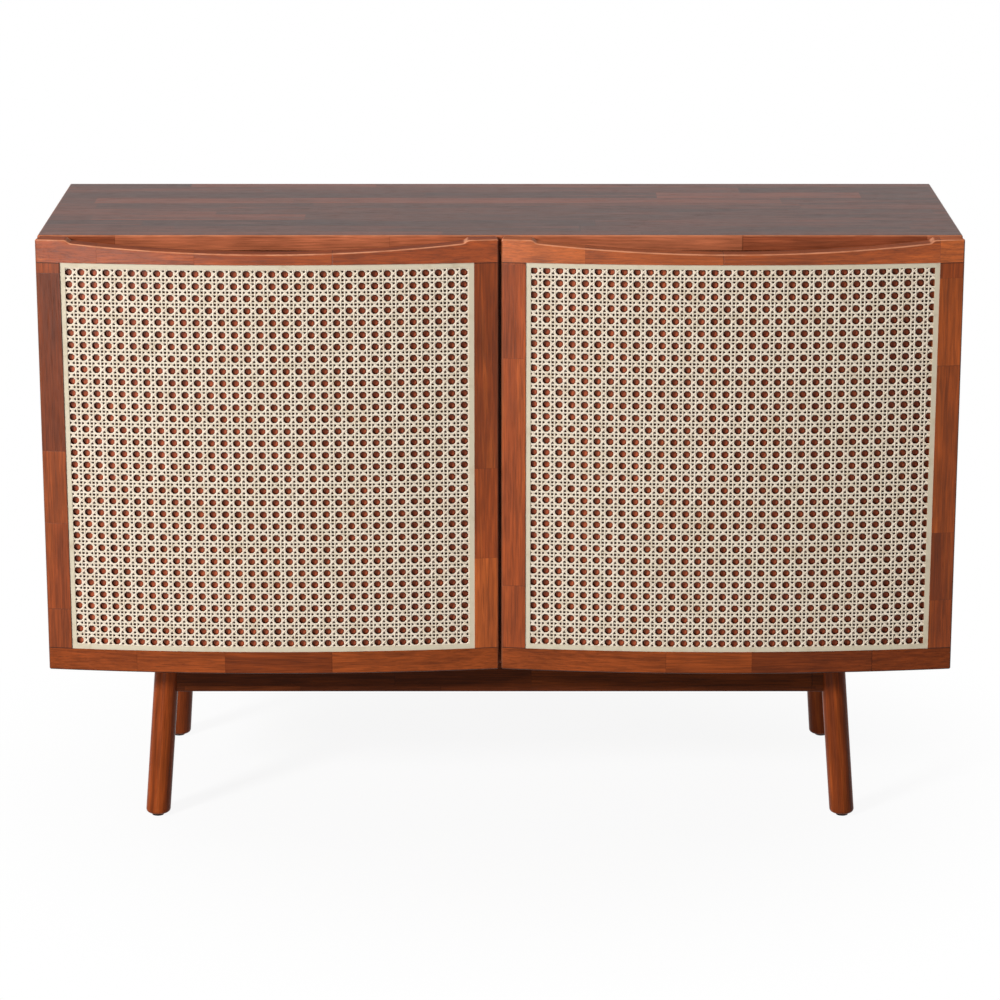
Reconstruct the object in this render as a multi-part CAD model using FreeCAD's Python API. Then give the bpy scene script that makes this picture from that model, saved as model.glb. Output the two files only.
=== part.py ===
import FreeCAD
import Part
import math
import os

# Record cabinet: a solid-wood case on a splayed-leg base, with two bowed cane doors.
# Millimetres. The origin is on the floor under the middle of the whole cabinet.
# +X is to the right, +Y to the back and +Z up, so the doors face -Y.

# Case
WIDTH = 1200.0
CASE_HEIGHT = 582.0
CASE_DEPTH = 373.0
PANEL = 20.0
CASE_EDGE_RADIUS = 2.5
DIVIDER = 20.0
BACK_PANEL = 6.0
BACK_REBATE = 10.0
BACK_CLEARANCE = 0.5
BACK_SCREW_LENGTH = 18.0
BACK_SCREWS_ACROSS = 4
BACK_SCREWS_UP = 3
BACK_SCREW_FROM_END = 40.0
SIDE_SCREW_FROM_END = 130.0

# Shelves: the space under each holds record sleeves on edge
SHELF = 18.0
SHELF_CLEAR_HEIGHT = 350.0
SHELF_SETBACK = 24.0
SHELF_SIDE_GAP = 1.0
SHELF_EDGE_RADIUS = 2.0
SHELF_PIN_RADIUS = 2.5
SHELF_PIN_SUNK = 8.0
SHELF_PIN_REACH = 8.0
SHELF_PIN_INSET = 45.0
SHELF_HOLE_PITCH = 32.0
SHELF_HOLE_STEPS = 2

# Dowels and screws
DOWEL_RADIUS = 4.0
DOWEL_SHORT = 12.0
DOWEL_LONG = 22.0
CASE_DOWELS = 4
CASE_DOWEL_INSET = 42.0
SCREW_HEAD_RADIUS = 3.0
SCREW_HEAD_HEIGHT = 1.8
SCREW_SHANK_RADIUS = 1.5
FIT = 0.1

# Base
BASE_HEIGHT = 222.0
RAIL_HEIGHT = 50.0
RAIL_THICKNESS = 18.0
RAIL_EDGE_RADIUS = 2.0
LEG_RADIUS = 16.5
LEG_FOOT_RADIUS = 5.0
LEG_SPLAY_SIDEWAYS = 4.4
LEG_SPLAY_FORWARD = 5.0
FOOT_FROM_CASE_END = 135.0
FOOT_FROM_CASE_FACE = 20.5
TENON_THICKNESS = 10.0
TENON_HEIGHT = 30.0
TENON_DEPTH = 9.0
GLIDE_RADIUS = 8.0
GLIDE_HEIGHT = 3.5
GLIDE_STEM_RADIUS = 2.5
GLIDE_STEM = 14.0
RAIL_SCREWS = 4
RAIL_SCREW_FROM_LEG = 135.0
BASE_SCREW_BORE = 4.5
BASE_SCREW_IN_RAIL = 28.0
BASE_SCREW_IN_PANEL = 14.0

# Doors
DOOR_THICKNESS = 24.0
DOOR_BOW = 21.0
DOOR_GAP = 3.0
DOOR_BACK_GAP = 3.0
DOOR_EDGE_RADIUS = 2.5
STILE_FACE = 32.0
DOOR_RAIL_FACE = 30.0
CANE_LEDGE = 7.0
CANE_DEPTH = 2.4
CANE = 1.6
BORDER_WIDTH = 6.6
BORDER = 1.0
BACKING_DEPTH = 7.0
BACKING = 6.0
GROOVE = 6.0
DOOR_DOWEL_INSET = 11.0
DOOR_DOWEL_DEPTH = 17.0
SCOOP_DEPTH = 16.0
SCOOP_END_DEPTH = 3.5
SCOOP_SHOULDER = 37.0
SCOOP_CURL = 8.5

# Hinges
HINGE_LENGTH = 60.0
HINGE_FROM_DOOR_END = 95.0
HINGE_INSET = 3.0
KNUCKLE_RADIUS = 2.8
KNUCKLE_ROOM = 0.5
KNUCKLE_END_GAP = 0.3
HINGE_PIN_RADIUS = 1.3
HINGE_PIN_PLAY = 0.05
LEAF = 1.4
CABINET_LEAF_WIDTH = 17.0
DOOR_LEAF_WIDTH = 24.0
LEAF_SCREWS = 3
LEAF_SCREW_SPACING = 20.0
LEAF_SCREW_LENGTH = 14.0
LEAF_SCREW_EDGE = 5.0

# Door catches and bumpers
CATCH_FROM_MIDDLE = 30.0
CATCH_RADIUS = 4.0
CATCH_SUNK = 14.0
CATCH_FLANGE_RADIUS = 6.0
CATCH_FLANGE = 1.5
CATCH_NOSE_RADIUS = 3.0
CATCH_GAP = 0.3
STRIKE_RADIUS = 6.5
STRIKE = 2.0
STRIKE_LET_IN = 0.6
STRIKE_SCREW_LENGTH = 11.0
BUMPER_FROM_MIDDLE = 13.0
BUMPER_RADIUS = 4.0
BUMPER_GAP = 0.3

# Worked out from the sizes above
door_width = (WIDTH - DOOR_GAP) / 2
bow_radius = (door_width ** 2 / 4 + DOOR_BOW ** 2) / (2 * DOOR_BOW)
half_angle = math.asin(door_width / 2 / bow_radius)
door_arc = 2 * half_angle * bow_radius
door_back_radius = bow_radius - DOOR_THICKNESS
overall_depth = CASE_DEPTH + DOOR_BACK_GAP + DOOR_THICKNESS * math.cos(half_angle) + DOOR_BOW
back_y = overall_depth / 2
front_y = back_y - CASE_DEPTH
case_middle_y = (front_y + back_y) / 2
door_middle_x = -(WIDTH + DOOR_GAP) / 4
bow_centre_y = bow_radius - overall_depth / 2
height = BASE_HEIGHT + CASE_HEIGHT
floor_top = BASE_HEIGHT + PANEL
ceiling = height - PANEL
inner_half_width = WIDTH / 2 - PANEL
inner_back_y = back_y - BACK_PANEL
hinge_x = HINGE_INSET - WIDTH / 2
hinge_y = front_y - DOOR_BACK_GAP / 2
hinge_heights = (BASE_HEIGHT + HINGE_FROM_DOOR_END, height - HINGE_FROM_DOOR_END)
shelf_bottom = floor_top + SHELF_CLEAR_HEIGHT
up = FreeCAD.Vector(0, 0, 1)


def point(x, y, z):
    return FreeCAD.Vector(x, y, z)


def box(x0, x1, y0, y1, z0, z1):
    return Part.makeBox(x1 - x0, y1 - y0, z1 - z0, point(x0, y0, z0))


def rod(radius, start, end):
    along = end - start
    return Part.makeCylinder(radius, along.Length, start, along)


def mirrored(shape):
    return shape.mirror(point(0, 0, 0), point(1, 0, 0))


def screw(seat, direction, length, room=0.0):
    """A countersunk wood screw with its head flush at seat; room makes the hole for it."""
    head_radius = SCREW_HEAD_RADIUS + room
    shank_radius = SCREW_SHANK_RADIUS + room
    head = Part.makeCone(head_radius, shank_radius, SCREW_HEAD_HEIGHT, seat, direction)
    shank = Part.makeCylinder(shank_radius, length + room, seat, direction)
    return head.fuse(shank)


def spread(middle, reach, count):
    """Evenly spaced places from middle - reach to middle + reach."""
    return [middle - reach + 2 * reach * i / (count - 1) for i in range(count)]


# Bowed door geometry: places on a door are arc lengths from its hinge edge and depths from its face


def bow_point(arc, depth):
    angle = arc / bow_radius - half_angle
    radius = bow_radius - depth
    return point(door_middle_x + radius * math.sin(angle), bow_centre_y - radius * math.cos(angle), 0)


def bowed_block(start, end, front, back, low, high):
    middle = (start + end) / 2
    face_arc = Part.Arc(bow_point(start, front), bow_point(middle, front), bow_point(end, front))
    back_arc = Part.Arc(bow_point(end, back), bow_point(middle, back), bow_point(start, back))
    far_end = Part.makeLine(bow_point(end, front), bow_point(end, back))
    near_end = Part.makeLine(bow_point(start, back), bow_point(start, front))
    outline = Part.Wire([face_arc.toShape(), far_end, back_arc.toShape(), near_end])
    outline.translate(up * low)
    return Part.Face(outline).extrude(up * (high - low))


def inset_block(inset_ends, inset_heights, front, back):
    """A bowed sheet as large as the door, less the insets at its ends and at its top and bottom."""
    low = BASE_HEIGHT + inset_heights
    high = height - inset_heights
    return bowed_block(inset_ends, door_arc - inset_ends, front, back, low, high)


def door_back_angle(x):
    return math.asin((x - door_middle_x) / door_back_radius)


def door_back_y(x):
    return bow_centre_y - door_back_radius * math.cos(door_back_angle(x))


def scoop_cutter():
    """The finger scoop: a long shallow arc, curling up tangentially to the door's top at each end."""
    reach = door_width / 2 - SCOOP_SHOULDER
    dip = SCOOP_DEPTH - SCOOP_END_DEPTH
    floor_radius = (reach ** 2 + dip ** 2) / (2 * dip)
    floor_centre = height - SCOOP_DEPTH + floor_radius
    inner_radius = floor_radius - SCOOP_CURL
    to_lip = math.hypot(reach, floor_centre - height + SCOOP_CURL)
    lip_angle = math.atan2(reach, floor_centre - height + SCOOP_CURL)
    apart = (inner_radius ** 2 + to_lip ** 2 - 4 * SCOOP_CURL ** 2) / (2 * inner_radius * to_lip)
    foot_angle = lip_angle - math.acos(apart)
    curl_x = inner_radius * math.sin(foot_angle)
    curl_z = floor_centre - inner_radius * math.cos(foot_angle)
    waist_angle = math.atan2(reach - curl_x, curl_z - height + SCOOP_CURL)
    bend = (foot_angle + waist_angle) / 2

    def at(offset, z):
        return point(door_middle_x + offset, -overall_depth, z)

    def curl_end(sign):
        foot_x = floor_radius * math.sin(foot_angle)
        foot = at(sign * foot_x, floor_centre - floor_radius * math.cos(foot_angle))
        low_x = curl_x + SCOOP_CURL * math.sin(bend)
        low_bend = at(sign * low_x, curl_z - SCOOP_CURL * math.cos(bend))
        waist = at(sign * (curl_x + reach) / 2, (curl_z + height - SCOOP_CURL) / 2)
        high_x = reach - SCOOP_CURL * math.sin(waist_angle / 2)
        high_bend = at(sign * high_x, height - SCOOP_CURL * (1 - math.cos(waist_angle / 2)))
        return foot, low_bend, waist, high_bend, at(sign * reach, height)

    left_foot, left_low, left_waist, left_high, left_lip = curl_end(-1)
    right_foot, right_low, right_waist, right_high, right_lip = curl_end(1)
    above = up * SCOOP_DEPTH
    outline = Part.Wire([
        Part.Arc(left_lip, left_high, left_waist).toShape(),
        Part.Arc(left_waist, left_low, left_foot).toShape(),
        Part.Arc(left_foot, at(0, height - SCOOP_DEPTH), right_foot).toShape(),
        Part.Arc(right_foot, right_low, right_waist).toShape(),
        Part.Arc(right_waist, right_high, right_lip).toShape(),
        Part.makeLine(right_lip, right_lip + above),
        Part.makeLine(right_lip + above, left_lip + above),
        Part.makeLine(left_lip + above, left_lip),
    ])
    return Part.Face(outline).extrude(point(0, overall_depth + front_y, 0))


def runs_straight_back(edge):
    """True of the seams between the scoop's arcs, which are smooth and need no rounding."""
    start, end = edge.Vertexes[0].Point, edge.Vertexes[-1].Point
    return math.hypot(end.x - start.x, end.z - start.z) < FIT


# Hinges, made for the left door in a frame whose origin is on the hinge axis


def hinge_leaf(width, offset, knuckles, clear_spans):
    """A flat leaf along +X with its face offset from the axis along +Y, and its knuckles."""
    half = HINGE_LENGTH / 2
    leaf = box(0, width, offset, offset + LEAF, -half, half)
    for low, high in knuckles:
        leaf = leaf.fuse(rod(KNUCKLE_RADIUS, up * low, up * high))
    for low, high in clear_spans:
        leaf = leaf.cut(rod(KNUCKLE_RADIUS + KNUCKLE_ROOM, up * low, up * high))
    return leaf.cut(rod(HINGE_PIN_RADIUS + HINGE_PIN_PLAY, up * -half, up * half))


def leaf_screws(width, offset, room=0.0):
    """The screws of a leaf, or with some room the holes for them."""
    into_wood = point(0, 1, 0)
    heights = spread(0, LEAF_SCREW_SPACING, LEAF_SCREWS)
    seats = [point(width - LEAF_SCREW_EDGE, offset, z) for z in heights]
    return [screw(seat, into_wood, LEAF_SCREW_LENGTH, room) for seat in seats]


def hinge_seat(width, offset):
    """The room that a leaf and the whole barrel take out of the wood."""
    half = HINGE_LENGTH / 2 + FIT
    barrel = rod(KNUCKLE_RADIUS + KNUCKLE_ROOM, up * -half, up * half)
    return box(0, width + FIT, offset - LEAF, offset + LEAF, -half, half).fuse(barrel)


def on_case(shape, z):
    placed = shape.copy()
    placed.translate(point(hinge_x, hinge_y, z))
    return placed


def on_door(shape, z):
    """Turns a leaf over to the door's back, which slopes by the bow's angle at the hinge."""
    placed = shape.mirror(point(0, 0, 0), point(0, 1, 0))
    placed.rotate(point(0, 0, 0), up, -math.degrees(hinge_slope))
    placed.translate(point(hinge_x, hinge_y, z))
    return placed


hinge_slope = math.atan2(door_middle_x - hinge_x, bow_centre_y - hinge_y)
case_leaf_offset = DOOR_BACK_GAP / 2
door_leaf_offset = door_back_radius - math.hypot(hinge_x - door_middle_x, hinge_y - bow_centre_y)
knuckle_half = HINGE_LENGTH / 6
outer_knuckles = (
    (-HINGE_LENGTH / 2, -knuckle_half - KNUCKLE_END_GAP / 2),
    (knuckle_half + KNUCKLE_END_GAP / 2, HINGE_LENGTH / 2),
)
middle_knuckle = ((-knuckle_half + KNUCKLE_END_GAP / 2, knuckle_half - KNUCKLE_END_GAP / 2),)
outer_room = ((-HINGE_LENGTH / 2, -knuckle_half), (knuckle_half, HINGE_LENGTH / 2))
middle_room = ((-knuckle_half, knuckle_half),)

parts = {}


def add(name, *shapes):
    solids = [solid for shape in shapes for solid in shape.Solids]
    parts[name] = solids[0] if len(solids) == 1 else Part.makeCompound(solids)


# Case: one rounded block, hollowed, rebated at the back and parted into its four boards
block = box(-WIDTH / 2, WIDTH / 2, front_y, back_y, BASE_HEIGHT, height)
block = block.makeFillet(CASE_EDGE_RADIUS, block.Edges)
hollow = box(-inner_half_width, inner_half_width, front_y - PANEL, back_y + PANEL, floor_top, ceiling)
rebate = box(
    -inner_half_width - BACK_REBATE, inner_half_width + BACK_REBATE,
    inner_back_y, back_y + PANEL,
    floor_top - BACK_REBATE, ceiling + BACK_REBATE,
)
shell = block.cut(hollow).cut(rebate)
top_panel = shell.common(box(-WIDTH, WIDTH, -WIDTH, WIDTH, ceiling, height))
bottom_panel = shell.common(box(-WIDTH, WIDTH, -WIDTH, WIDTH, BASE_HEIGHT, floor_top))
left_side = shell.common(box(-WIDTH, 0, -WIDTH, WIDTH, floor_top, ceiling))
divider = box(-DIVIDER / 2, DIVIDER / 2, front_y, inner_back_y, floor_top, ceiling)

# Case dowels stand in the sides and the divider and reach into the top and bottom
case_dowels = []
dowel_reach_y = CASE_DEPTH / 2 - CASE_DOWEL_INSET
for x in (-WIDTH / 2 + PANEL / 2, 0, WIDTH / 2 - PANEL / 2):
    for y in spread(case_middle_y, dowel_reach_y, CASE_DOWELS):
        bottom_dowel = (point(x, y, floor_top - DOWEL_SHORT), point(x, y, floor_top + DOWEL_LONG))
        top_dowel = (point(x, y, ceiling - DOWEL_LONG), point(x, y, ceiling + DOWEL_SHORT))
        for start, end in (bottom_dowel, top_dowel):
            case_dowels.append(rod(DOWEL_RADIUS, start, end))
            hole = rod(DOWEL_RADIUS + FIT, start - up * FIT, end + up * FIT)
            top_panel = top_panel.cut(hole)
            bottom_panel = bottom_panel.cut(hole)
            left_side = left_side.cut(hole)
            divider = divider.cut(hole)

# Shelf pin holes, in two columns on each side of each compartment
pin_columns = (front_y + SHELF_SETBACK + SHELF_PIN_INSET, inner_back_y - SHELF_PIN_INSET)
pin_height = shelf_bottom - SHELF_PIN_RADIUS
pin_steps = range(-SHELF_HOLE_STEPS, SHELF_HOLE_STEPS + 1)
pin_hole_heights = [pin_height + SHELF_HOLE_PITCH * step for step in pin_steps]
hole_depth = SHELF_PIN_SUNK + FIT
hole_radius = SHELF_PIN_RADIUS + FIT
for y in pin_columns:
    for z in pin_hole_heights:
        side_mouth = point(-inner_half_width, y, z)
        left_side = left_side.cut(rod(hole_radius, side_mouth - point(hole_depth, 0, 0), side_mouth))
        for face in (-DIVIDER / 2, DIVIDER / 2):
            hole_end = point(face - math.copysign(hole_depth, face), y, z)
            divider = divider.cut(rod(hole_radius, hole_end, point(face, y, z)))
shelf_pins = []
for y in pin_columns:
    for face, inwards in ((-inner_half_width, 1), (-DIVIDER / 2, -1)):
        start = point(face - inwards * SHELF_PIN_SUNK, y, pin_height)
        end = point(face + inwards * SHELF_PIN_REACH, y, pin_height)
        shelf_pins.append(rod(SHELF_PIN_RADIUS, start, end))
shelf_pins += [mirrored(pin) for pin in shelf_pins]

left_shelf = box(
    -inner_half_width + SHELF_SIDE_GAP, -DIVIDER / 2 - SHELF_SIDE_GAP,
    front_y + SHELF_SETBACK, inner_back_y - SHELF_SIDE_GAP,
    shelf_bottom, shelf_bottom + SHELF,
)
front_edges = [edge for edge in left_shelf.Edges if edge.BoundBox.YMax < front_y + SHELF_SETBACK + FIT]
left_shelf = left_shelf.makeFillet(SHELF_EDGE_RADIUS, front_edges)

# Back panel, in the rebate, screwed to the boards and the divider
back_reach_x = inner_half_width + BACK_REBATE - BACK_CLEARANCE
back_low = floor_top - BACK_REBATE + BACK_CLEARANCE
back_high = ceiling + BACK_REBATE - BACK_CLEARANCE
back_panel = box(-back_reach_x, back_reach_x, inner_back_y, back_y, back_low, back_high)
screw_reach_x = inner_half_width + BACK_REBATE / 2
screw_low = floor_top - BACK_REBATE / 2
screw_high = ceiling + BACK_REBATE / 2
screw_reach_z = (screw_high - screw_low) / 2 - SIDE_SCREW_FROM_END
screw_columns = spread(0, screw_reach_x - BACK_SCREW_FROM_END, BACK_SCREWS_ACROSS)
screw_rows = spread((screw_low + screw_high) / 2, screw_reach_z, BACK_SCREWS_UP)
back_screw_places = [(x, z) for x in screw_columns for z in (screw_low, screw_high)]
back_screw_places += [(x, z) for x in (-screw_reach_x, 0, screw_reach_x) for z in screw_rows]
back_screws = []
for x, z in back_screw_places:
    seat = point(x, back_y, z)
    back_screws.append(screw(seat, point(0, -1, 0), BACK_SCREW_LENGTH))
    hole = screw(seat, point(0, -1, 0), BACK_SCREW_LENGTH, FIT)
    back_panel = back_panel.cut(hole)
    top_panel = top_panel.cut(hole)
    bottom_panel = bottom_panel.cut(hole)
    left_side = left_side.cut(hole)
    divider = divider.cut(hole)

# Base: splayed round legs with level feet, joined by four tenoned rails
rail_low = BASE_HEIGHT - RAIL_HEIGHT
rail_middle = BASE_HEIGHT - RAIL_HEIGHT / 2
lean_x = math.tan(math.radians(LEG_SPLAY_SIDEWAYS))
lean_y = math.tan(math.radians(LEG_SPLAY_FORWARD))
foot_x = WIDTH / 2 - FOOT_FROM_CASE_END
foot_y = CASE_DEPTH / 2 - FOOT_FROM_CASE_FACE
joint_x = foot_x - lean_x * rail_middle
joint_y = foot_y - lean_y * rail_middle


def leg_rod(side, end, radius):
    """A rod along one leg's axis, longer than the leg; side and end are -1 or 1."""
    foot = point(side * foot_x, case_middle_y + end * foot_y, 0)
    climb = point(-side * lean_x, -end * lean_y, 1)
    return rod(radius, foot - climb * BASE_HEIGHT, foot + climb * 2 * BASE_HEIGHT)


def long_tenon_bar(end, room=0.0):
    """The core of a front or back rail, from tenon end to tenon end; room makes its mortises."""
    y = case_middle_y + end * joint_y
    tenon_reach = joint_x - LEG_RADIUS + TENON_DEPTH + room
    half = TENON_THICKNESS / 2 + room
    tall = TENON_HEIGHT / 2 + room
    return box(-tenon_reach, tenon_reach, y - half, y + half, rail_middle - tall, rail_middle + tall)


def short_tenon_bar(side, room=0.0):
    """The core of a side rail, from tenon end to tenon end; room makes its mortises."""
    x = side * joint_x
    tenon_reach = joint_y - LEG_RADIUS + TENON_DEPTH + room
    half = TENON_THICKNESS / 2 + room
    low = rail_middle - TENON_HEIGHT / 2 - room
    high = rail_middle + TENON_HEIGHT / 2 + room
    return box(x - half, x + half, case_middle_y - tenon_reach, case_middle_y + tenon_reach, low, high)


def coped(bar, tenon_bar, leg_ends):
    """Rounds a rail's lower edges, fits its ends round the legs and adds its tenons."""
    bottom_edges = [edge for edge in bar.Edges if edge.BoundBox.ZMax < rail_low + FIT]
    long_edges = [edge for edge in bottom_edges if edge.Length > 2 * RAIL_THICKNESS]
    rail = bar.makeFillet(RAIL_EDGE_RADIUS, long_edges)
    for side, end in leg_ends:
        rail = rail.cut(leg_rod(side, end, LEG_RADIUS + FIT))
    return rail.fuse(tenon_bar).removeSplitter()


half_rail = RAIL_THICKNESS / 2
long_rails = {}
for end in (-1, 1):
    y = case_middle_y + end * joint_y
    bar = box(-joint_x, joint_x, y - half_rail, y + half_rail, rail_low, BASE_HEIGHT)
    long_rails[end] = coped(bar, long_tenon_bar(end), [(-1, end), (1, end)])
side_bar = box(
    -joint_x - half_rail, -joint_x + half_rail,
    case_middle_y - joint_y, case_middle_y + joint_y,
    rail_low, BASE_HEIGHT,
)
for rail in long_rails.values():
    side_bar = side_bar.cut(rail)
left_rail = coped(side_bar, short_tenon_bar(-1), [(-1, -1), (-1, 1)])

base_screws = []
rail_screw_columns = spread(0, joint_x - RAIL_SCREW_FROM_LEG, RAIL_SCREWS)
rail_screw_places = [(x, case_middle_y + end * joint_y) for x in rail_screw_columns for end in (-1, 1)]
rail_screw_places += [(side * joint_x, case_middle_y) for side in (-1, 1)]
for x, y in rail_screw_places:
    seat = point(x, y, BASE_HEIGHT - BASE_SCREW_IN_RAIL)
    length = BASE_SCREW_IN_RAIL + BASE_SCREW_IN_PANEL
    base_screws.append(screw(seat, up, length))
    hole = screw(seat, up, length, FIT).fuse(rod(BASE_SCREW_BORE, point(x, y, rail_low - FIT), seat))
    bottom_panel = bottom_panel.cut(hole)
    left_rail = left_rail.cut(hole)
    for end in (-1, 1):
        long_rails[end] = long_rails[end].cut(hole)

glides = []
legs = {}
slab = box(-WIDTH, WIDTH, -WIDTH, WIDTH, GLIDE_HEIGHT, BASE_HEIGHT)
for side, side_name in ((-1, "left"), (1, "right")):
    for end, end_name in ((-1, "front"), (1, "back")):
        leg = leg_rod(side, end, LEG_RADIUS).common(slab)
        foot_edge = [edge for edge in leg.Edges if edge.BoundBox.ZMax < GLIDE_HEIGHT + FIT]
        leg = leg.makeFillet(LEG_FOOT_RADIUS, foot_edge)
        leg = leg.cut(long_tenon_bar(end, FIT)).cut(short_tenon_bar(side, FIT))
        centre = point(side * foot_x, case_middle_y + end * foot_y, 0)
        pad = rod(GLIDE_RADIUS, centre, centre + up * GLIDE_HEIGHT)
        stem_top = centre + up * (GLIDE_HEIGHT + GLIDE_STEM)
        leg = leg.cut(rod(GLIDE_STEM_RADIUS + FIT, centre, stem_top + up * FIT))
        glides.append(pad.fuse(rod(GLIDE_STEM_RADIUS, centre, stem_top)))
        legs[end_name + "_" + side_name + "_leg"] = leg

# Left door: a bowed blank, scooped and rounded, then cut for the cane, its ledge and the backing panel
blank = bowed_block(0, door_arc, 0, DOOR_THICKNESS, BASE_HEIGHT, height).cut(scoop_cutter())
rounded_edges = [edge for edge in blank.Edges if not runs_straight_back(edge)]
blank = blank.makeFillet(DOOR_EDGE_RADIUS, rounded_edges)
ledge_front = CANE_DEPTH + CANE + FIT
cane_recess = inset_block(STILE_FACE, DOOR_RAIL_FACE, -DOOR_THICKNESS, ledge_front)
stile_inner = STILE_FACE + CANE_LEDGE
rail_inner = DOOR_RAIL_FACE + CANE_LEDGE
window = inset_block(stile_inner, rail_inner, -DOOR_THICKNESS, 2 * DOOR_THICKNESS)
backing_back = BACKING_DEPTH + BACKING
groove_ends = stile_inner - GROOVE
groove_heights = rail_inner - GROOVE
groove_cut = inset_block(groove_ends - FIT, groove_heights - FIT, BACKING_DEPTH - FIT, backing_back + FIT)
frame = blank.cut(window).cut(cane_recess).cut(groove_cut)
joint_low = BASE_HEIGHT + DOOR_RAIL_FACE
joint_high = height - DOOR_RAIL_FACE
stile_zone = (-DOOR_THICKNESS, 2 * DOOR_THICKNESS, joint_low, joint_high)
hinge_zone = bowed_block(-DOOR_THICKNESS, stile_inner, *stile_zone)
meeting_zone = bowed_block(door_arc - stile_inner, door_arc + DOOR_THICKNESS, *stile_zone)
hinge_stile = frame.common(hinge_zone)
meeting_stile = frame.common(meeting_zone)
rails = frame.cut(hinge_zone).cut(meeting_zone)
bottom_rail, top_rail = sorted(rails.Solids, key=lambda solid: solid.CenterOfMass.z)

door_dowels = []
dowel_insets = (DOOR_DOWEL_INSET, STILE_FACE - DOOR_DOWEL_INSET)
for arc in (*dowel_insets, *[door_arc - inset for inset in dowel_insets]):
    place = bow_point(arc, DOOR_DOWEL_DEPTH)
    low_dowel = (place + up * (joint_low - DOWEL_SHORT), place + up * (joint_low + DOWEL_LONG))
    high_dowel = (place + up * (joint_high - DOWEL_LONG), place + up * (joint_high + DOWEL_SHORT))
    for start, end in (low_dowel, high_dowel):
        door_dowels.append(rod(DOWEL_RADIUS, start, end))
        hole = rod(DOWEL_RADIUS + FIT, start - up * FIT, end + up * FIT)
        top_rail = top_rail.cut(hole)
        bottom_rail = bottom_rail.cut(hole)
        hinge_stile = hinge_stile.cut(hole)
        meeting_stile = meeting_stile.cut(hole)

backing_panel = inset_block(groove_ends, groove_heights, BACKING_DEPTH, backing_back)
cane = inset_block(STILE_FACE + FIT, DOOR_RAIL_FACE + FIT, CANE_DEPTH, CANE_DEPTH + CANE)
border_front = CANE_DEPTH - BORDER
border_ring = inset_block(STILE_FACE + FIT, DOOR_RAIL_FACE + FIT, border_front, CANE_DEPTH - FIT)
border_window = inset_block(
    STILE_FACE + BORDER_WIDTH, DOOR_RAIL_FACE + BORDER_WIDTH, -DOOR_THICKNESS, DOOR_THICKNESS
)
cane_border = border_ring.cut(border_window)

# Hinges of the left door: leaves let into the wood, pins peened into the cabinet leaves
case_leaf = hinge_leaf(CABINET_LEAF_WIDTH, case_leaf_offset, outer_knuckles, middle_room)
door_leaf = hinge_leaf(DOOR_LEAF_WIDTH, door_leaf_offset, middle_knuckle, outer_room)
for hole in leaf_screws(CABINET_LEAF_WIDTH, case_leaf_offset, FIT):
    case_leaf = case_leaf.cut(hole)
for hole in leaf_screws(DOOR_LEAF_WIDTH, door_leaf_offset, FIT):
    door_leaf = door_leaf.cut(hole)
case_leaves = []
door_leaves = []
pins = []
case_hinge_screws = []
door_screws = []
for z in hinge_heights:
    case_leaves.append(on_case(case_leaf, z))
    door_leaves.append(on_door(door_leaf, z))
    pins.append(on_case(rod(HINGE_PIN_RADIUS, up * (-HINGE_LENGTH / 2), up * (HINGE_LENGTH / 2)), z))
    case_hinge_screws += [on_case(item, z) for item in leaf_screws(CABINET_LEAF_WIDTH, case_leaf_offset)]
    door_screws += [on_door(item, z) for item in leaf_screws(DOOR_LEAF_WIDTH, door_leaf_offset)]
    left_side = left_side.cut(on_case(hinge_seat(CABINET_LEAF_WIDTH, case_leaf_offset), z))
    hinge_stile = hinge_stile.cut(on_door(hinge_seat(DOOR_LEAF_WIDTH, door_leaf_offset), z))
    for hole in leaf_screws(CABINET_LEAF_WIDTH, case_leaf_offset, FIT):
        left_side = left_side.cut(on_case(hole, z))
    for hole in leaf_screws(DOOR_LEAF_WIDTH, door_leaf_offset, FIT):
        hinge_stile = hinge_stile.cut(on_door(hole, z))

# Magnetic catch in the top panel's front edge, and the steel strike let into the door's back
catch_x = -CATCH_FROM_MIDDLE
catch_z = height - PANEL / 2
strike_angle = door_back_angle(catch_x)
inwards = point(-math.sin(strike_angle), math.cos(strike_angle), 0)
door_back = point(catch_x, door_back_y(catch_x), catch_z)
strike_seat = door_back - inwards * STRIKE_LET_IN
strike_face = strike_seat + inwards * STRIKE
strike_hole = screw(strike_face, inwards * -1, STRIKE_SCREW_LENGTH, FIT)
strike = rod(STRIKE_RADIUS, strike_seat, strike_face).cut(strike_hole)
strike_room = rod(STRIKE_RADIUS + FIT, strike_seat, strike_face)
top_rail = top_rail.cut(strike_room.fuse(strike_hole))
door_screws.append(screw(strike_face, inwards * -1, STRIKE_SCREW_LENGTH))
nose_y = strike_face.y + CATCH_NOSE_RADIUS * abs(math.tan(strike_angle)) + CATCH_GAP
catch_mouth = point(catch_x, front_y, catch_z)
flange_front = catch_mouth - point(0, CATCH_FLANGE, 0)
catch = rod(CATCH_RADIUS, catch_mouth, catch_mouth + point(0, CATCH_SUNK, 0))
catch = catch.fuse(rod(CATCH_FLANGE_RADIUS, flange_front, catch_mouth))
catch = catch.fuse(rod(CATCH_NOSE_RADIUS, point(catch_x, nose_y, catch_z), flange_front))
catch_hole = rod(CATCH_RADIUS + FIT, catch_mouth, catch_mouth + point(0, CATCH_SUNK + FIT, 0))
top_panel = top_panel.cut(catch_hole).cut(mirrored(catch_hole))

# Bumpers on the case's front edges, one at the top and one at the bottom of each door
bumper_tip_y = door_back_y(BUMPER_RADIUS - BUMPER_FROM_MIDDLE) + BUMPER_GAP
bumpers = []
for z in (height - PANEL / 2, BASE_HEIGHT + PANEL / 2):
    tip = point(-BUMPER_FROM_MIDDLE, bumper_tip_y, z)
    bumpers.append(rod(BUMPER_RADIUS, tip, point(-BUMPER_FROM_MIDDLE, front_y, z)))
bumpers += [mirrored(item) for item in bumpers]

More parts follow.
